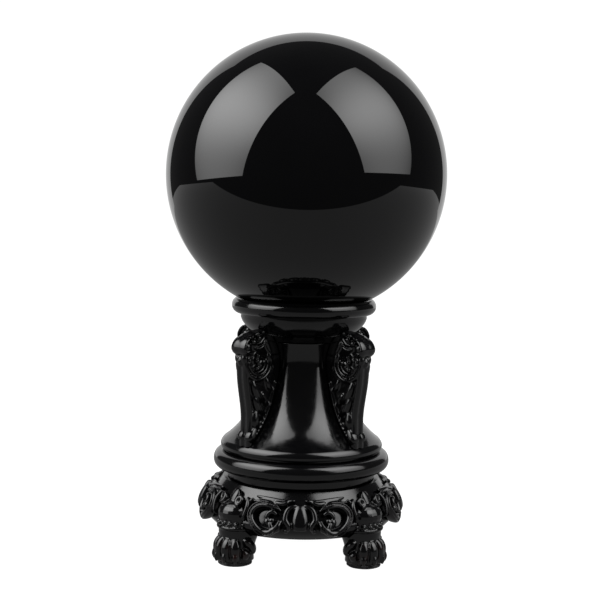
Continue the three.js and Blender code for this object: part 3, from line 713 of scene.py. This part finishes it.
def show_round(places, piece, mesh, material, node, crease=38):
    """A piece in each named place round the Z axis: the same mesh, turned by that place's degrees."""
    for place, degrees in places.items():
        copy = mesh.copy()
        copy.name = piece + place
        copy.transform(Matrix.Rotation(np.radians(degrees), 4, "Z"))
        show(piece + place, copy, material, "stand", node + place, crease)


CARVED_CREASE = 75  # degrees, above what the facets of a carved surface turn
CORNERS = {"front_left": -135, "front_right": -45, "rear_right": 45, "rear_left": 135}
SIDES = {"front": -90, "right": 0, "rear": 90, "left": 180}
print("sections of", len(PLAIN), "points")

# %% [markdown]
# ### Scroll brackets
# Each bracket is a console: a plate with a grooved band down its back, a beaded edge that follows the
# bell, acanthus leaflets slanting up between them, a rosette of beads, and a leaf that springs from under
# the cup and rolls over into a nose. It is drawn in its own plane, outwards and up, and both faces match.

# %% Bracket: plate and bands
back_edge = spline([(22.9, 30.9), (22.9, 33.3), (22.7, 41.5), (24.2, 51), (24.6, 57.6)], 12)
level = back_edge[:, 1]
side = np.array([(0, -1), (0.94, -1), (1, -0.8), (1, 0.8), (0.94, 1), (0, 1)])
PLATE_IN, PLATE_HALF = 8, 1.5  # the plate's inner edge, inside the column, and half its thickness
plate_rings = np.stack([PLATE_IN + (back_edge[:, None, 0] - 0.5 - PLATE_IN) * side[None, :, 0],
                        PLATE_HALF * side[None, :, 1] + 0 * level[:, None],
                        level[:, None] + 0 * side[None, :, 0]], -1)
bracket_shells = [skin(plate_rings)]
cap = np.array([(PLATE_IN, 57), (24.2, 57), (23.6, 60), (21.5, 62.6), (16.6, 64), (PLATE_IN, 63.5)])


def in_plane(points, t):
    """Points drawn outwards and up in the bracket's plane, as points in space at t to one side."""
    points = np.asarray(points, float)
    return np.column_stack([points[:, 0], np.full(len(points), float(t)), points[:, 1]])


bracket_shells.append(skin(np.stack([in_plane(cap, t) for t in (-1.4, 1.4)])))
ways_out = np.tile([1.0, 0, 0], (len(back_edge), 1))
band = back_edge - [0.9, 0]
bracket_shells.append(carried(in_plane(band, 0), ways_out, GROOVED, np.full(len(band), 2.15),
                              np.full(len(band), 0.95)))
print(len(bracket_shells), "shells")


# %% Bracket: leaflets, rosette and beads on both faces
def on_faces(make):
    """What a maker makes on one face, on both: way is -1 for one and 1 for the other."""
    return [shell for way in (-1, 1) for shell in make(way)]


def bell(z):
    """The column's radius at a height, read from its profile."""
    wall = shaft_profile[(shaft_profile[:, 0] > WAIST_R - 2) & (shaft_profile[:, 1] > rim_top - 0.01)]
    return np.interp(z, wall[:, 1], wall[:, 0])


def face_band(knots, way, width, height, section=PLAIN, ends=0.3, lift=1.35, steps=8):
    """A raised band along knots in the plane, tapering to both ends' share, on one face. lift is how far
    its middle lies from the plate's."""
    path = spline(knots, steps)
    up = np.tile([0.0, way, 0], (len(path), 1))
    swell = taper(len(path), ends, ends)
    return carried(in_plane(path, lift * way), up, section, width * swell, height * (0.4 + 0.6 * swell))


def leaflets(way):
    """Acanthus leaflets: each springs from beside the bell and curves up and out to the back band, with
    smaller ones nearer the bell."""
    foot_z = np.array([33.9, 37.2, 41.0, 44.9])
    tip_z = foot_z + [4.0, 5.4, 6.2, 6.2]
    tip_r = np.interp(tip_z, back_edge[:, 1], back_edge[:, 0]) - 2.6
    foot_r = np.maximum(bell(foot_z) + 1.5, tip_r - 4.6)
    small_z = np.array([39.8, 43.6, 47.6])
    small_r = bell(small_z) + 1.3
    knots = [[(r, z), ((r + s) / 2 + 0.7, (z + t) / 2 - 0.6), (s, t)]
             for r, z, s, t in zip(foot_r, foot_z, tip_r, tip_z)]
    small = [[(r, z), (r + 1.6, z + 1.4), (r + 2.4, z + 3.8)] for r, z in zip(small_r, small_z)]
    return ([face_band(k, way, 1.3, 1.75, PLAIN, 0.12, 1.2) for k in knots]
            + [face_band(k, way, 0.85, 1.15, PLAIN, 0.12, 1.2) for k in small])


def stem(way):
    """A cord that follows the bell, with a few beads where it meets the foot."""
    z = np.linspace(33.0, 50.0, 12)
    edge = face_band(np.column_stack([bell(z) + GAP + 0.5, z]), way, 0.42, 0.75, PLAIN, 0.7, steps=4)
    z = np.linspace(33.6, 38.6, 6)
    beads = np.column_stack([bell(z) + GAP + 0.7, np.full(6, 1.55 * way), z])
    return [edge] + lobes(beads, [0.42, 0.6, 0.42])


def rosette(way):
    """Seven beads on a spiral whose radius grows with its angle, two arcs below, and curled fronds above."""
    t = np.arange(7) * 1.1
    r = 0.2 + 0.34 * t
    centre = np.array([19.3, 55.9])
    spots = centre + np.column_stack([r * np.cos(2.1 * t), r * np.sin(2.1 * t)]) * 0.85
    beads = lobes(np.column_stack([spots[:, 0], np.full(7, 1.7 * way), spots[:, 1]]),
                  np.column_stack([0.92 - 0.03 * t, 1.25 + 0 * t, 0.92 - 0.03 * t]))
    arcs = []
    for radius, wide in ((3.4, 0.5), (4.75, 0.6)):
        a = np.radians(np.linspace(170, 385, 9))
        arc = centre + radius * np.column_stack([np.cos(a), np.sin(a)])
        arcs.append(face_band(arc, way, wide, 1.05, steps=5))
    fronds = [face_band([(16.2, 62.6), (17.9, 60.6), (20.0, 60.2), (21.6, 61.4)], way, 0.7, 0.9, GROOVED),
              face_band([(14.4, 58.4), (15.6, 60.2), (16.4, 62.2)], way, 0.6, 0.8),
              face_band([(13.2, 53.6), (14.3, 55.8), (15.0, 58.2)], way, 0.6, 0.8)]
    return beads + arcs + fronds


bracket_shells += on_faces(leaflets) + on_faces(stem) + on_faces(rosette)
print(len(bracket_shells), "shells")

# %% Bracket: rolled leaf
roll_path = spline([(15.0, 64.2), (17.2, 64.4), (19.6, 64.1), (22.0, 63.4), (24.1, 62.3), (25.1, 60.6),
                    (24.7, 59.1), (23.4, 58.5), (22.4, 59.1), (22.3, 60.1)], 10)
roll_out = np.gradient(roll_path, axis=0) @ np.array([[0, -1], [1, 0]])
roll_out = -np.column_stack([roll_out[:, 0], np.zeros(len(roll_out)), roll_out[:, 1]])
roll_out *= np.sign((roll_out[20] * [0, 0, 1]).sum())
share = np.linspace(0, 1, len(roll_path))
teeth = 1 - 0.2 * np.abs(np.sin(share * 9 * np.pi)) * (share < 0.4)
leaf_width = np.interp(share, [0, 0.25, 0.45, 0.6, 0.85, 1], [1.7, 2.5, 2.8, 3.0, 2.3, 1.0]) * teeth
leaf_thick = np.interp(share, [0, 0.7, 1], [0.62, 0.62, 0.45])
VEINED = moulding([0.0], 0.12, -1.0, 0.4)
bracket_shells.append(carried(in_plane(roll_path, 0), roll_out, VEINED, leaf_width, leaf_thick))
bracket_shells += lobes([[23.1, 0, 60.5]], [1.8, 2.3, 1.9])
bracket_shells += lobes([(24.1, -1.25, 57.4), (24.1, 1.25, 57.4), (24.3, 0, 56.6)], [0.95, 1.05, 1.5])
bracket_shells += lobes([[21.4, y, 61.9] for y in (-2.1, 2.1)] + [[19.2, y, 62.8] for y in (-1.9, 1.9)],
                        [1.0, 0.7, 0.8])
clearance = [mesh_of("fit_shaft", [turned(grown(eased(shaft_profile), GAP), 128)]),
             mesh_of("fit_cup", [turned(grown(eased(cup_profile), GAP), 128)])]
bracket_mesh = carved(mesh_of("bracket", bracket_shells), clearance, remesh=0.19, smooth=2)
show_round(CORNERS, "scroll_bracket_", bracket_mesh, resin_cast_lacquered, "bracket_",
           CARVED_CREASE)

# %% [markdown]
# ### Scroll panels
# A husk hangs between two open volutes, each a reeded band that curls in to a ball, under a pair of thin
# scrolls. All of it lies on the skirt. A point drawn sideways and up is moved out to the skirt's radius
# there, and then off it along its normal.


# %% Panel: drawing on the skirt
def on_skirt(y, z, lift):
    """The point y to one side at height z: the skirt's radius r there gives outwards as the root of
    r^2 - y^2, and the lift follows the skirt's normal. Also returns that normal."""
    y, z = np.broadcast_arrays(np.asarray(y, float), np.asarray(z, float))
    r = np.interp(z, skirt[:, 1], skirt[:, 0])
    slope = np.interp(z, skirt[:, 1], np.gradient(skirt[:, 0]) / np.gradient(skirt[:, 1]))
    turn = np.arcsin(y / r)
    normal = np.stack([np.cos(turn), np.sin(turn), -slope], -1) / np.sqrt(1 + slope**2)[..., None]
    on = np.stack([r * np.cos(turn), r * np.sin(turn), z], -1)
    return on + normal * np.asarray(lift)[..., None], normal


def skirt_band(knots, width, height, ends, lift):
    """A raised band along knots drawn sideways and up on the skirt, tapering to its two ends' shares."""
    path = spline(knots, 8)
    points, normals = on_skirt(path[:, 0], path[:, 1], lift)
    swell = taper(len(path), *ends)
    return carried(points, normals, PLAIN, width * swell, height * (0.35 + 0.65 * swell))


VOLUTE_Y, VOLUTE_Z = 8.9, 14.45  # a volute's middle, to one side and up


def volute(way):
    """An open C scroll, an ellipse turned through 322 degrees. Its rim starts as a leaf's tip above the
    husk and goes out over the top and back under. A hook and a curl reach into the eye, to two balls."""
    t = np.linspace(0, 1, 64)
    angle = np.radians(150 - 322 * t)
    swell = np.interp(t, [0, 0.12, 1], [1.18, 1.0, 0.98])
    y = way * (VOLUTE_Y + 3.9 * swell * np.cos(angle))
    z = VOLUTE_Z + 3.1 * swell * np.sin(angle)
    points, normals = on_skirt(y, z, 0.9)
    width = np.interp(t, [0, 0.15, 0.75, 1], [0.2, 1.1, 1.1, 0.7])
    height = np.interp(t, [0, 0.15, 0.8, 1], [1.0, 1.85, 1.8, 1.3])
    rim = carried(points, normals, REEDED * [-way, 1], width, height)
    hook_knots = np.array([(5.5, 13.2), (5.9, 12.1), (7.3, 12.2), (7.9, 13.5)])
    curl_knots = np.array([(6.0, 15.4), (7.2, 16.0), (8.4, 15.3), (8.6, 14.1)])
    hook = skirt_band(hook_knots * [way, 1], 0.85, 1.5, (0.6, 0.6), 0.8)
    curl = skirt_band(curl_knots * [way, 1], 0.7, 1.4, (0.5, 0.7), 0.8)
    spots, _ = on_skirt(np.array([way * 8.5, way * 7.4]), np.array([13.6, 13.9]), 1.0)
    return [rim, hook, curl] + lobes(spots, [[1.15, 1.15, 1.1], [0.9, 0.9, 0.9]])


print("the skirt is", round(float(on_skirt(0, 14.2, 0)[0][0]), 2), "out at a volute's middle")

# %% Panel: husk, leaves and thin scrolls
HUSK = {  # knots sideways and up, half width, height, the two ends' shares
    "leaf": ([(0.9, 17.7), (3.1, 16.6), (3.8, 14.3), (2.9, 12.8), (3.3, 11.9)], 0.95, 2.1, (0.4, 0.3)),
    "ear": ([(6.6, 18.2), (4.2, 17.9), (2.6, 19.0)], 0.75, 1.5, (0.5, 0.12)),
    "long scroll": ([(1.2, 18.9), (4.4, 18.6), (8.0, 18.9), (11.6, 19.3)], 0.7, 1.0, (0.15, 0.25)),
    "thin scroll": ([(4.6, 18.1), (7.4, 18.2), (10.0, 18.3), (12.4, 18.0)], 0.55, 1.1, (0.2, 0.25)),
    "outer scroll": ([(12.2, 18.6), (13.5, 17.2), (13.9, 15.0)], 0.6, 1.3, (0.5, 0.2)),
}
panel_shells = volute(-1) + volute(1)
panel_shells.append(skirt_band([(0, 12.0), (0, 13.4), (0, 15.3), (0, 17.9)], 2.5, 2.5, (0.7, 0.3), 0.4))
for way in (-1, 1):
    panel_shells += lobes(on_skirt(np.full(1, way * 3.7), np.full(1, 11.8), 0.6)[0], [0.75, 0.75, 0.75])
    for knots, width, height, ends in HUSK.values():
        panel_shells.append(skirt_band(np.array(knots) * [way, 1], width, height, ends, 0.7))
fit_ring = mesh_of("fit_ring", [turned(grown(eased(ring_profile), GAP), 128)])
panel_mesh = carved(mesh_of("panel", panel_shells), [fit_ring], remesh=0.16, smooth=3)
show_round(SIDES, "carved_panel_", panel_mesh, resin_cast_lacquered, "scroll_panel_",
           CARVED_CREASE)

# %% [markdown]
# ### Paw feet
# A lion's paw: a waisted shank, four toes with knuckles and claws, and a dewclaw on each side. Over the
# ring's rim come a smooth cuff, a row of beads and a bulging knee with two curls.
# A toe is a round lobe carried along a curve, which is placed by its angle round the sole's middle.

# %% Paw foot
LEG_X, SOLE_X = RING_RIM_R - 1.2, RING_RIM_R - 0.3


def about_sole(degrees, distance, z):
    """Points at angles round the sole's middle: SOLE_X + d cos a, d sin a, and z."""
    a, d, z = np.broadcast_arrays(np.radians(degrees), np.asarray(distance, float), np.asarray(z, float))
    return np.stack([SOLE_X + d * np.cos(a), d * np.sin(a), z], -1)


def finger(degrees, distance, z, radius, steps=8):
    """A round lobe along a spline of knots given by angle, distance and height, with a radius at each."""
    path = spline(np.column_stack([degrees, distance, z, radius]), steps)
    points = about_sole(path[:, 0], path[:, 1], path[:, 2])
    up = points - [SOLE_X, 0, 3.0]
    return carried(points, up, ROUND, path[:, 3], path[:, 3])


angle = np.linspace(0, 2 * np.pi, 48, endpoint=False)[None, :]
leg = spline([(5.3, 15.7), (5.5, 12), (5.6, 9.4), (5.4, 7.6), (5.0, 5.8), (4.7, 3.6), (5.0, 2.0),
              (5.05, SOLE_Z)], 8)
leg_x = np.interp(leg[:, 1], [2, 8], [SOLE_X, LEG_X])[:, None]
paw_shells = [skin(np.stack([leg_x + leg[:, :1] * np.cos(angle), leg[:, :1] * np.sin(angle),
                             leg[:, 1:] + 0 * angle], -1))]
for toe in (-46, -15.5, 15.5, 46):
    paw_shells.append(finger([toe * 0.8, toe, toe, toe, toe], [2.6, 4.2, 5.0, 4.9, 4.6],
                             [7.6, 6.7, 5.2, 3.3, 1.5], [0.9, 1.25, 1.35, 1.3, 0.9]))
    paw_shells += lobes(about_sole(toe, 5.35, 3.6), [0.95, 0.95, 1.0])
    paw_shells.append(finger([toe] * 3, [5.7, 6.1, 5.9], [3.6, 2.5, 1.2], [0.75, 0.65, 0.35]))
for way in (-1, 1):
    paw_shells.append(finger(np.array([76, 84, 98, 102, 92]) * way, [4.6, 5.3, 5.6, 5.7, 5.6],
                             [7.4, 6.8, 5.4, 4.1, 3.4], [0.8, 1.2, 1.15, 0.8, 0.35]))
    paw_shells.append(finger(np.array([72, 78, 76]) * way, [4.6, 5.1, 4.8], [4.8, 3.4, 2.2],
                             [0.8, 1.15, 0.8]))
paw_shells += lobes([[LEG_X + 1.1, 0, 14.3]], [4.9, 5.2, 3.7])
cuff_angle = np.radians(np.linspace(-115, 115, 40))
cuff = np.column_stack([LEG_X + 5.5 * np.cos(cuff_angle), 5.4 * np.sin(cuff_angle), np.full(40, 10.6)])
cuff_up = np.column_stack([np.cos(cuff_angle), np.sin(cuff_angle), np.zeros(40)])
paw_shells.append(carried(cuff, cuff_up, PLAIN, np.full(40, 0.5), np.full(40, 0.7)))
bead_angle = np.radians(np.linspace(-84, 84, 9))
beads = np.column_stack([LEG_X + 5.7 * np.cos(bead_angle), 5.4 * np.sin(bead_angle), np.full(9, 11.75)])
paw_shells += lobes(beads, [0.65, 0.65, 0.6])
for way in (-1, 1):
    t = np.linspace(0, 1, 40)
    a = np.radians(-110 + 430 * t)
    r = 1.1 * (1 - 0.7 * t)
    curl_y, curl_z = way * (3.1 - r * np.cos(a)), 17.3 + r * np.sin(a)
    on, normals = on_skirt(curl_y, np.clip(curl_z, RIM_Z, RING_TOP_Z), 1.5)
    paw_shells.append(carried(on, normals, PLAIN, 0.72 - 0.2 * t, 1.4 - 0.3 * t))
    paw_shells.append(skirt_band([(way * 4.9, 18.6), (way * 5.9, 16.2), (way * 5.4, 12.9)], 0.7, 1.7,
                                 (0.3, 0.3), 1.0))
paw_shells.append(skirt_band([(0, 16.4), (0, 18.4), (0, 20.2)], 1.4, 1.1, (0.6, 0.2), 0.7))
paw_shells = [(np.column_stack([p[:, :2], np.maximum(p[:, 2], SOLE_Z)]), f) for p, f in paw_shells]
paw_mesh = carved(mesh_of("paw", paw_shells), [fit_ring], remesh=0.17, smooth=2)
flat = np.zeros(len(paw_mesh.vertices) * 3, np.float32)
paw_mesh.vertices.foreach_get("co", flat)
flat[2::3] = np.maximum(flat[2::3], SOLE_Z * MM)
paw_mesh.vertices.foreach_set("co", flat)
show_round(CORNERS, "lion_paw_", paw_mesh, resin_cast_lacquered, "paw_foot_", CARVED_CREASE)

# %% [markdown]
# ### Felt pads
# Each pad is punched from a sheet, so its upper edge is crisp and its lower edge is pressed a little out.

# %% Felt pads
PAD_X, PAD_R = RING_RIM_R, 4.8
pad_top = high("felt_pad_front_left")[2]
angle = np.linspace(0, 2 * np.pi, 96, endpoint=False)[None, :]
pad = np.array([(3.0, 0), (4.55, 0), (4.75, 0.12), (PAD_R, 0.35), (4.74, 0.65), (4.66, pad_top - 0.05),
                (4.55, pad_top), (3.0, pad_top)])
pad_r = pad[:, :1] * (1 + 0.006 * np.sin(7 * angle) * (pad[:, :1] > 4))
pad_r = np.minimum(pad_r, PAD_R)
pad_rings = np.stack([PAD_X + pad_r * np.cos(angle), pad_r * np.sin(angle), pad[:, 1:] + 0 * angle], -1)
show_round(CORNERS, "pressed_pad_", mesh_of("pad", [skin(pad_rings)]),
           felt_pressed, "felt_pad_")
